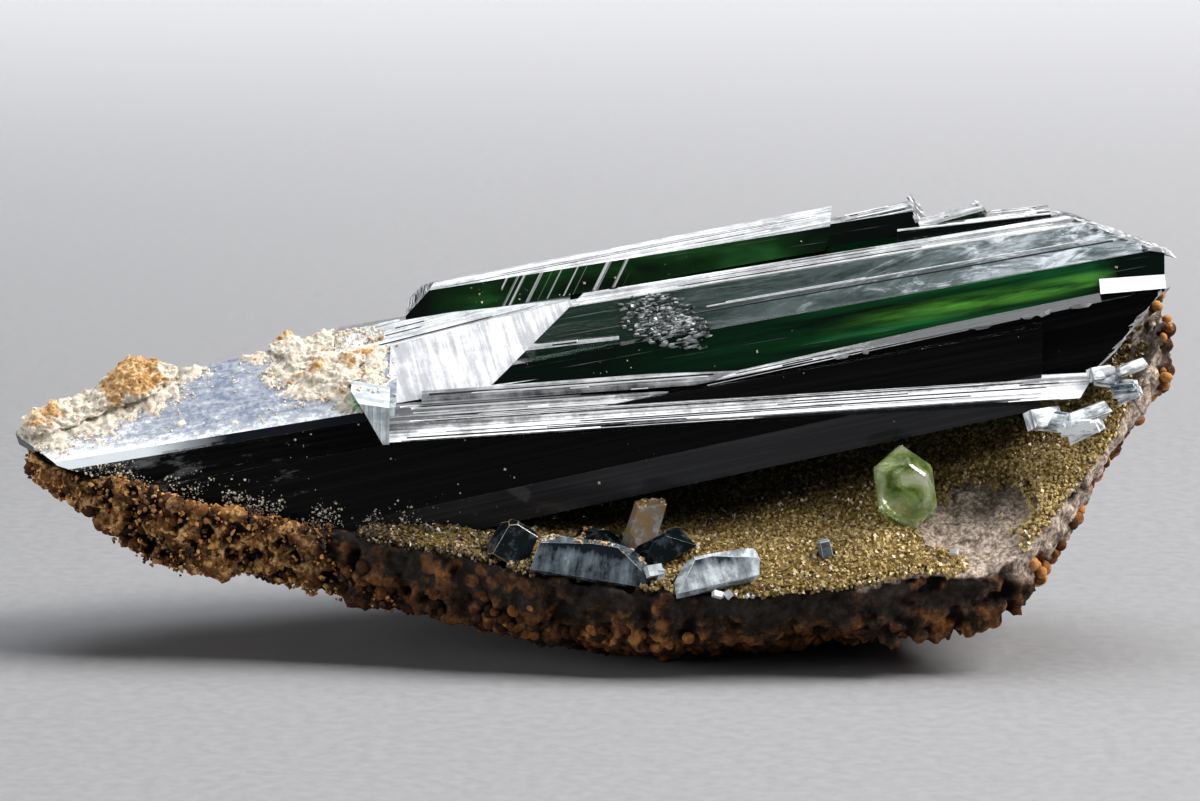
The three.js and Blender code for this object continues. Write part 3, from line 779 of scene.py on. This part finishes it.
def ridge_mesh(name, faces, per_mm, rng):
    """Thin ridges along the blades: low hipped roofs on the faces. faces gives film, corners, normal and
    long direction, per_mm how many ridges each film has per millimetre of the face's width, and the x in mm
    where they end."""
    vertices, polygons, shades = [], [], []
    for film, corners, normal, along in faces:
        across = normal.cross(along)
        outline = [(c.dot(along), c.dot(across)) for c in corners]
        low, high = min(v for _, v in outline), max(v for _, v in outline)
        count, limit = per_mm.get(film, (0, 0))
        for _ in range(int(count * (high - low) / MM)):
            v = rng.uniform(low, high)
            ends = []
            for (u0, v0), (u1, v1) in zip(outline, outline[1:] + outline[:1]):
                if (v0 - v) * (v1 - v) < 0:
                    ends.append(u0 + (u1 - u0) * (v - v0) / (v1 - v0))
            if len(ends) < 2 or max(ends) - min(ends) < 2 * MM:
                continue
            room = min(max(ends), limit * MM) - min(ends) - 0.4 * MM
            if room < 1 * MM:
                continue
            length = room * rng.uniform(0.15, 1.0) ** 1.5
            start = min(ends) + 0.2 * MM + rng.uniform(0, room - length)
            half = rng.uniform(0.03, 0.11) * MM
            height = half * rng.uniform(0.4, 1.0)
            foot = corners[0] + along * (start - outline[0][0]) + across * (v - outline[0][1])
            foot -= normal * 0.01 * MM
            first = len(vertices)
            for u, w, h in ((0, -1, 0), (1, -1, 0), (1, 1, 0), (0, 1, 0), (0.06, 0, 1), (0.94, 0, 1)):
                vertices.append(foot + along * (u * length) + across * (w * half) + normal * (h * height))
            for polygon in ((0, 1, 5, 4), (2, 3, 4, 5), (1, 2, 5), (3, 0, 4), (3, 2, 1, 0)):
                polygons.append([first + k for k in polygon])
            shades += [rng.uniform()] * 6
    mesh = bpy.data.meshes.new(name)
    mesh.from_pydata(vertices, [], polygons)
    set_attribute(mesh, "shade", shades)
    return mesh


PALE_RIDGES = {
    "streak": (8, 50), "silver": (6, 50), "white": (5, 50), "hook": (5, 50), "rail": (6, 27),
    "wispy": (1, 50),
}
DARK_RIDGES = {"streak": (4, 50), "silver": (3, 50)}

mesh, main_faces = worn_crystal("vivianite_blades", "vivianite_crystal", main_face_film, list(FILMS))
add_piece(mesh, FILMS.values(), ["vivianite_crystal"])
rng = np.random.RandomState(17)
add_piece(ridge_mesh("pale_ridges", main_faces, PALE_RIDGES, rng), [PALE_RIDGE])
add_piece(ridge_mesh("dark_ridges", main_faces, DARK_RIDGES, rng), [DARK_RIDGE])

# Films on the faces and on the worn edges
SMALL_FILMS = {
    "small_blade_long": (SMALL_VIVIANITE, FILMS["pale"]), "small_blade_short": (PALE_BLADE, FILMS["pale"]),
    "small_prism": (DARK_PRISM, SMALL_VIVIANITE), "small_upright_blade": (TAN_FLAKE, TAN_FLAKE),
    "small_left_prism": (DARK_PRISM, TAN_FLAKE), "small_fragment": (DARK_PRISM, SMALL_VIVIANITE),
    "tiny_prism": (SMALL_VIVIANITE, FILMS["pale"]),
}
BREAKS = {
    "small_blade_long": [(0.8, 0.8, 62), (0.04, 0.8, 148), (0.3, 0.93, 96), (0.97, 0.4, -14)],
    "small_blade_short": [(0.12, 0.6, 128), (0.96, 0.5, -22), (0.6, 0.94, 80)],
    "small_prism": [(0.8, 0.75, 50), (0.2, 0.8, 120)],
    "small_upright_blade": [(0.74, 0.8, 35), (0.2, 0.85, 125)],
    "small_left_prism": [(0.9, 0.8, 40)],
    "small_fragment": [(0.7, 0.7, 55), (0.25, 0.7, 118)],
}


def same_film(normal, centre):
    """One film on all faces."""
    return "face"


small_meshes = {}
for node, films in SMALL_FILMS.items():
    breaks = BREAKS.get(node, ())
    mesh, _ = worn_crystal(f"{node}_worn", node, same_film, ["face", "edge"], SMALL_EDGE_WEAR, breaks)
    add_piece(mesh, films, [node])
    small_meshes[node] = mesh
mesh, _ = worn_crystal("green_crystal_worn", "green_crystal", same_film, ["face"], GREEN_EDGE_WEAR)
add_piece(mesh, [GREEN], ["green_crystal"])
for node in ("splinter_cluster_lower", "splinter_cluster_upper"):
    mesh, _ = worn_crystal(f"{node}_worn", node, same_film, ["face"], SPLINTER_EDGE_WEAR)
    add_piece(mesh, [SPLINTER_FILM], [node])


# Ironstone: the CAD solid with oolites and broken faces worked into its outside

rock_tree = cad_tree("ironstone_matrix")
druse_tree = cad_tree("druse_crust")
crystal_tree = cad_tree("vivianite_crystal")


def nearest(tree, point, reach):
    """Distance to a tree's surface, or the reach if it is further."""
    hit = tree.find_nearest(point, reach)
    return reach if hit[0] is None else hit[3]


def is_inside(point, normal):
    """Whether a place on the ironstone is in the hollow: on or beside the druse, or on the bare patch."""
    if normal[2] < 0.2:
        return False
    bare = point[0] > BARE_FROM_X and point[1] < 0 and point[2] > BARE_ABOVE_Z
    return bare or nearest(druse_tree, Vector(point), 2 * MM) < 0.7 * MM


def broken_share(point, normal, from_druse):
    """How far a place outside the hollow is a fresh break: in patches around its rim."""
    share = clamp((5 * MM - from_druse) / (2.5 * MM)) if normal.y < 0.3 else 0.0
    return max(share - max(fractal(point, 3 * MM), 0) * 1.2, 0)


def outside_relief(point):
    """How far a place is on an oolite, and the height in mm of the lumps and pits there."""
    distances, _ = noise.voronoi(point / OOLITE_PITCH)
    ball = max(1 - (distances[0] / 0.6) ** 2, 0) ** 0.5
    hole = clamp((fractal(point + Vector((7, 3, 1)) * MM, 1.7 * MM, 3) - 0.12) / 0.3)
    pit = 1.3 if point.x < EARTHY_TO_X else 0.9
    return ball, 0.6 * fractal(point, 2.4 * MM) + 0.4 * fractal(point, 0.9 * MM) + 0.35 * ball - pit * hole


def inside_relief(point, from_druse):
    """Height in mm of the steps and grit on the bare patch, level beside the druse."""
    room = clamp((from_druse - 0.5 * MM) / (1 * MM))
    steps = math.floor(3 * fractal(point, 2.6 * MM)) / 3
    return room * (0.25 * fractal(point, 3 * MM) + 0.3 * steps + 0.25 * fractal(point, 0.7 * MM))


def rock_mesh():
    """The ironstone with its relief, and what each place is, for the material."""
    mesh = remeshed("ironstone", cad_mesh("ironstone_matrix"), ROCK_VOXEL)
    layers = {"oolite": [], "relief": [], "fracture": [], "bare": []}
    for vertex, normal in zip(mesh.vertices, [n.vector.copy() for n in mesh.vertex_normals]):
        point = vertex.co.copy()
        inside = is_inside(point, normal)
        from_druse = nearest(druse_tree, point, 6 * MM)
        broken = 1.0 if inside else broken_share(point, normal, from_druse)
        ball, relief = outside_relief(point)
        height = inside_relief(point, from_druse) if inside else relief * (1 - 0.65 * broken)
        freedom = clamp((nearest(crystal_tree, point, 2 * MM) - 0.35 * MM) / (1.2 * MM))
        depth = height * freedom * MM
        if point.z < 0.5 * MM:
            depth = min(depth, 0.0)
        vertex.co = point + normal * depth
        vertex.co.z = max(vertex.co.z, 0.0)
        lip = clamp((point.x / MM + 2 * fractal(point, 2 * MM) - 29) / 4)
        layers["bare"].append(1.0 if inside and point.x > BARE_FROM_X else lip)
        layers["oolite"].append(ball)
        layers["relief"].append(relief)
        layers["fracture"].append(broken)
    for name, values in layers.items():
        set_attribute(mesh, name, values)
    mesh.polygons.foreach_set("use_smooth", [True] * len(mesh.polygons))
    return mesh


def oolite_mesh(rng):
    """Oolites on the outside, standing free on the right and sunk in elsewhere."""
    def wanted(place, normal):
        rim = (4 if -4 * MM < place.x < BARE_FROM_X else 2.4) * MM
        clear = nearest(crystal_tree, place, 3 * MM) > 1.2 * MM and nearest(druse_tree, place, 5 * MM) > rim
        clear = clear and place.z > FOOT_HEIGHT and not is_inside(place, normal)
        return clear and fractal(place, 6 * MM, 2) > (0.12 if place.x < -12 * MM else -0.05)

    points, normals = pick_surface(cad_mesh("ironstone_matrix"), OOLITES_PER_MM2, rng, wanted)
    points, normals = points[:OOLITE_COUNT], normals[:OOLITE_COUNT]
    radii = rng.uniform(*OOLITE_RADIUS, len(points))
    stand_out = np.where(points[:, 0] > BARE_FROM_X, 0.3, -0.25) + rng.uniform(-0.55, 0.15, len(points))
    points = points + normals * (radii * stand_out)[:, None]
    points[:, 2] = np.maximum(points[:, 2], radii)
    return scatter("oolites", "ball", points, uneven(radii, 0.55, rng), rng, smooth=True)


def ironstone_crumb_mesh(rng):
    """Earthy flakes on the left part of the outside."""
    def wanted(place, normal):
        left = rng.uniform(-24, -14) * MM > place.x
        clear = nearest(crystal_tree, place, 1 * MM) > 0.5 * MM
        clear = clear and nearest(druse_tree, place, 4 * MM) > 3 * MM
        return left and clear and place.z > FOOT_HEIGHT and not is_inside(place, normal)

    points, normals = pick_surface(cad_mesh("ironstone_matrix"), IRONSTONE_CRUMBS_PER_MM2, rng, wanted)
    points = points + normals * rng.uniform(-0.2, 0.4, (len(points), 1)) * MM
    sizes = uneven(rng.uniform(0.07, 0.24, len(points)) * MM, 1.0, rng)
    return scatter("ironstone_crumbs", "flake", points, sizes, rng)


add_piece(rock_mesh(), [ROCK], ["ironstone_matrix"])
rng = np.random.RandomState(5)
add_piece(oolite_mesh(rng), [OOLITE])
add_piece(ironstone_crumb_mesh(rng), [CRUMB])


# Druse: a crust of small crystals on the CAD crust

def crust_points(rng):
    """Places on the crust that are clear of the ironstone and the large crystal."""
    def wanted(place, normal):
        faces_rock = rock_tree.ray_cast(place, normal, 0.9 * MM)[0] is not None
        return not faces_rock and nearest(crystal_tree, place, 1 * MM) > 0.3 * MM

    return pick_surface(cad_mesh("druse_crust"), GRAINS_PER_MM2, rng, wanted)[0]


def lip_points(rng):
    """Places on the ironstone beside the crust, reaching out in patches on the right."""
    def wanted(place, normal):
        reach = 0.9 * MM
        if place.x > BARE_FROM_X:
            reach += 2.4 * MM * max(fractal(place, 2.5 * MM) + 0.1, 0)
        beside = normal.z > 0.1 and nearest(druse_tree, place, 4 * MM) < reach
        return beside and druse_tree.ray_cast(place, OUT_OF_HOLLOW, 5 * MM)[0] is None

    points, normals = pick_surface(cad_mesh("ironstone_matrix"), LIP_GRAINS_PER_MM2, rng, wanted)
    return points + normals * rng.uniform(0, 0.5 * MM, (len(points), 1))


rng = np.random.RandomState(8)
grain_places = {"druse_grains": crust_points(rng), "lip_grains": lip_points(rng)}
for name, points in grain_places.items():
    sizes = uneven(rng.uniform(*GRAIN_RADIUS, len(points)), 0.5, rng)
    add_piece(scatter(name, "spike", points, sizes, rng), [DRUSE])
druse_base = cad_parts["druse_crust"]
druse_base.data.materials.clear()
druse_base.data.materials.append(DRUSE_BASE)


# Ochre crust, with loose grains on and around it

def crust_mesh(name, node, swells):
    """A crust as a grainy mesh. It swells at places in x with a reach, in mm, and is thin between them."""
    mesh = remeshed(name, cad_mesh(node), CRUST_VOXEL)
    thick = []
    for vertex, normal in zip(mesh.vertices, [n.vector.copy() for n in mesh.vertex_normals]):
        foot, _, _, height = crystal_tree.find_nearest(vertex.co)
        swell = max(math.exp(-(((vertex.co.x / MM - x) / reach) ** 2)) for x, reach in swells)
        height = min(height, CRUST_SKIN) + max(height - CRUST_SKIN, 0) * (0.25 + 0.75 * swell)
        lump = 0.3 * MM * fractal(vertex.co, 1.1 * MM) + 0.22 * MM * fractal(vertex.co, 0.4 * MM)
        side = (vertex.co - foot).normalized()
        vertex.co = foot + side * height + normal * lump * min(height / (0.5 * MM), 1)
        thick.append(height / MM)
    set_attribute(mesh, "thick", thick)
    mesh.polygons.foreach_set("use_smooth", [True] * len(mesh.polygons))
    return mesh


def film_mesh(name, trees):
    """A thin, patchy crust on the slab, thickest around the trees' crusts."""
    slabs = [face for face in main_faces if face[0] == "slab"]
    _, corners, normal, along = max(slabs, key=lambda face: max((c - face[1][0]).length for c in face[1]))
    across = normal.cross(along)
    reach = [[(c - corners[0]).dot(axis) for c in corners] for axis in (along, across)]
    columns, rows = (np.arange(min(r), max(r), FILM_STEP) for r in reach)
    index, vertices, thick = {}, [], []
    for i, u in enumerate(columns):
        for j, v in enumerate(rows):
            place = corners[0] + along * u + across * v
            if nearest(crystal_tree, place, 1 * MM) > 0.02 * MM:
                continue
            near = min(nearest(tree, place, 8 * MM) for tree in trees) / MM
            cover = 1.2 * math.exp(-((near / 2.0) ** 2)) + 0.8 * fractal(place, 1.6 * MM) - 0.65
            height = clamp(0.4 * cover + 0.2 * fractal(place, 0.5 * MM), -0.05, 0.6)
            index[i, j] = len(vertices)
            vertices.append(place + normal * height * MM)
            thick.append(1.6 * height)
    faces = []
    for i, j in index:
        square = [index.get(key) for key in ((i, j), (i + 1, j), (i + 1, j + 1), (i, j + 1))]
        if None not in square and max(thick[k] for k in square) > 0:
            faces.append(square)
    mesh = mesh_from(name, vertices, faces, smooth=True)
    set_attribute(mesh, "thick", thick)
    return mesh


def slab_points(rng):
    """Places on the top of the left slab."""
    def wanted(place, normal):
        return 50 < lean_of(normal) < 60 and place.x < -15 * MM

    return pick_surface(cad_mesh("vivianite_crystal"), LOOSE_OCHRE_PER_MM2, rng, wanted)[0]


def loose_ochre_mesh(node, places, rng):
    """Grains on the slab, fewer away from a crust."""
    tree = cad_tree(node)
    spread = [nearest(tree, Vector(p), 4 * MM) / (1.5 * MM) + 1.1 * fractal(p, 1.5 * MM) for p in places]
    loose = places[rng.random_sample(len(places)) < np.exp(-np.square(np.maximum(spread, 0)))]
    sizes = uneven(0.03 * MM + 0.15 * MM * rng.random_sample(len(loose)) ** 2, 0.9, rng)
    return scatter(f"{node}_grains", "rhomb", loose, sizes, rng)


CRUST_SWELLS = {
    "ochre_crust_tip": [(-42.8, 1.4), (-35.8, 2.2)],
    "ochre_crust_middle": [(-24, 1.2), (-18.5, 1.8), (-21.2, 0.8)],
}
rng = np.random.RandomState(21)
places = slab_points(rng)
add_piece(film_mesh("ochre_film", [cad_tree(node) for node in CRUST_SWELLS]), [OCHRE])
for node, swells in CRUST_SWELLS.items():
    add_piece(crust_mesh(f"{node}_grainy", node, swells), [OCHRE], [node])
    add_piece(loose_ochre_mesh(node, places, rng), [OCHRE])


# Dust on the dark faces, thick where they meet the ironstone

def dust_mesh(rng):
    points, normals = sample_surface(*mesh_arrays(cad_mesh("vivianite_crystal")), DUST_PER_MM2, rng)
    keep = []
    for point, normal, chance in zip(points, normals, rng.random_sample(len(points))):
        from_rock = nearest(rock_tree, Vector(point), 4 * MM)
        clumps = max(fractal(point, 2.2 * MM) + 0.25, 0) * 2.2
        share = 1.8 * clumps * math.exp(-((from_rock / (1.2 * MM)) ** 2)) if point[0] < -10 * MM else 0.0
        share += 0.008 * clumps**2 if point[0] < 6 * MM else 0.001
        keep.append(chance < share and abs(lean_of(Vector(normal))) < 20)
    points = points[keep]
    sizes = uneven(0.1 * MM * rng.random_sample(len(points)) ** 3 + 0.025 * MM, 0.9, rng)
    return scatter("dust", "rhomb", points, sizes, rng)


add_piece(dust_mesh(np.random.RandomState(13)), [DUST])


# Chips on the etched patch of the middle blade, and splinters on the broken right end

def chip_mesh(rng):
    def wanted(place, normal):
        chance = rng.random_sample()
        x, y, z = place / MM
        off = math.hypot((x - 5.6) / 3.6, (z - 26.1 + 0.2 * (x - 5)) / 1.8)
        return 8 < lean_of(normal) < 45 and y < 0 and chance < 1.2 * math.exp(-off * off * 1.6) - 0.15

    points, normals = pick_surface(cad_mesh("vivianite_crystal"), CHIPS_PER_MM2, rng, wanted)
    sizes = rng.uniform((0.12, 0.05, 0.06), (0.6, 0.24, 0.24), (len(points), 3)) * MM
    turns = facing_turns(normals, BLADE_AXIS, 0.3, rng)
    return scatter("etched_chips", "flake", points, sizes, rng, turns)


def splinter_mesh(rng):
    def wanted(place, normal):
        return 0.2 < normal.x < 0.95 and place.x > 18 * MM and place.z > 22 * MM

    points, normals = pick_surface(cad_mesh("vivianite_crystal"), SPLINTERS_PER_MM2, rng, wanted)
    sizes = rng.uniform((0.3, 0.1, 0.1), (1.3, 0.3, 0.35), (len(points), 3)) * MM
    turns = facing_turns(normals, BLADE_AXIS, 0.15, rng)
    return scatter("end_splinters", "flake", points, sizes, rng, turns)


rng = np.random.RandomState(29)
add_piece(chip_mesh(rng), [CHIP_FILM])
add_piece(splinter_mesh(rng), [FILMS["silver"]])


# Crumbs of pale crystal and ochre between the small blades

def pale_crumb_mesh(rng):
    sizes = uneven(PALE_CRUMBS[:, 3] * MM, 0.7, rng)
    return scatter("pale_crumbs", "rhomb", PALE_CRUMBS[:, :3] * MM, sizes, rng)


def ochre_crumb_mesh(rng):
    """Crumbs in a patchy heap behind the long blade."""
    def wanted(place, normal):
        off = math.hypot((place.x - 1.5 * MM) / (5 * MM), (place.y + 9.5 * MM) / (2.2 * MM))
        return normal.z > 0.2 and off < 1 + fractal(place, 1.5 * MM)

    points, _ = pick_surface(cad_mesh("druse_crust"), OCHRE_CRUMBS_PER_MM2, rng, wanted)
    sizes = uneven(rng.uniform(0.1, 0.34, len(points)) * MM, 0.9, rng)
    return scatter("ochre_crumbs", "rhomb", points, sizes, rng)


def blade_ochre_mesh(rng):
    """Patches of grains on the tops of three small blades."""
    def wanted(place, normal):
        return normal.z > 0.75 and fractal(place, 1.2 * MM) > 0.05

    heaps = []
    for node in ("small_fragment", "small_upright_blade", "small_blade_long"):
        heaps.append(pick_surface(small_meshes[node], BLADE_OCHRE_PER_MM2, rng, wanted)[0])
    points = np.concatenate(heaps)
    sizes = uneven(rng.uniform(0.03, 0.13, len(points)) * MM, 0.9, rng)
    mesh = scatter("ochre_on_blades", "rhomb", points, sizes, rng)
    set_attribute(mesh, "thick", [0.8] * len(mesh.vertices))
    return mesh


# Place and size in mm
PALE_CRUMBS = np.array([
    (4.7, -14.6, 8.3, 0.8), (5.3, -14.8, 8.1, 0.55), (9.6, -16.2, 6.9, 0.5), (10.4, -16.2, 6.9, 0.45),
    (11.8, -15.9, 6.7, 0.3), (12.3, -15.9, 6.7, 0.22), (27.6, -14, 9.7, 0.35),
])
rng = np.random.RandomState(31)
add_piece(pale_crumb_mesh(rng), [FILMS["pale"]])
add_piece(ochre_crumb_mesh(rng), [OCHRE])
add_piece(blade_ochre_mesh(rng), [OCHRE])


# Stage

def area_light(name, place, target, size, power, colour=(1, 1, 1)):
    data = bpy.data.lights.new(name, "AREA")
    data.shape = "RECTANGLE"
    data.size, data.size_y = size
    data.energy = power
    data.color = colour
    lamp = bpy.data.objects.new(name, data)
    lamp.location = place
    lamp.rotation_euler = (Vector(target) - Vector(place)).to_track_quat("-Z", "Y").to_euler()
    scene.collection.objects.link(lamp)


floor_mesh = mesh_from("floor", [(-4, -4, 0), (4, -4, 0), (4, 4, 0), (-4, 4, 0)], [(0, 1, 2, 3)])
floor_mesh.materials.append(floor_material())
floor = bpy.data.objects.new("floor", floor_mesh)
scene.collection.objects.link(floor)

area_light("overhead", (0.03, 0.12, 0.62), (0, 0, 0.015), (0.6, 0.5), 3.4, (0.94, 0.97, 1))
area_light("key_right", (0.44, -0.04, 0.43), (0, 0, 0.015), (0.3, 0.3), 5.6, (1, 0.97, 0.93))
area_light("fill_left", (-0.55, -0.2, 0.15), (-0.02, 0, 0.012), (0.3, 0.2), 1.4)
area_light("backdrop", (0, 0.6, 0.6), (0, 1.3, 0), (1.4, 0.4), 21.0)

world = bpy.data.worlds.new("studio")
world.use_nodes = True
world.node_tree.nodes["Background"].inputs["Color"].default_value = (0.8, 0.85, 0.95, 1)
world.node_tree.nodes["Background"].inputs["Strength"].default_value = 0.07
scene.world = world
scene.view_settings.view_transform = "Standard"

camera_data = bpy.data.cameras.new("camera")
camera_data.lens = CAMERA_LENS
camera_data.sensor_width = CAMERA_SENSOR
camera = bpy.data.objects.new("camera", camera_data)
back_off = Vector((0, -math.cos(CAMERA_ELEVATION), math.sin(CAMERA_ELEVATION)))
camera.location = CAMERA_TARGET + back_off * CAMERA_DISTANCE
camera.rotation_euler = (math.pi / 2 - CAMERA_ELEVATION, 0, 0)
scene.collection.objects.link(camera)
scene.camera = camera
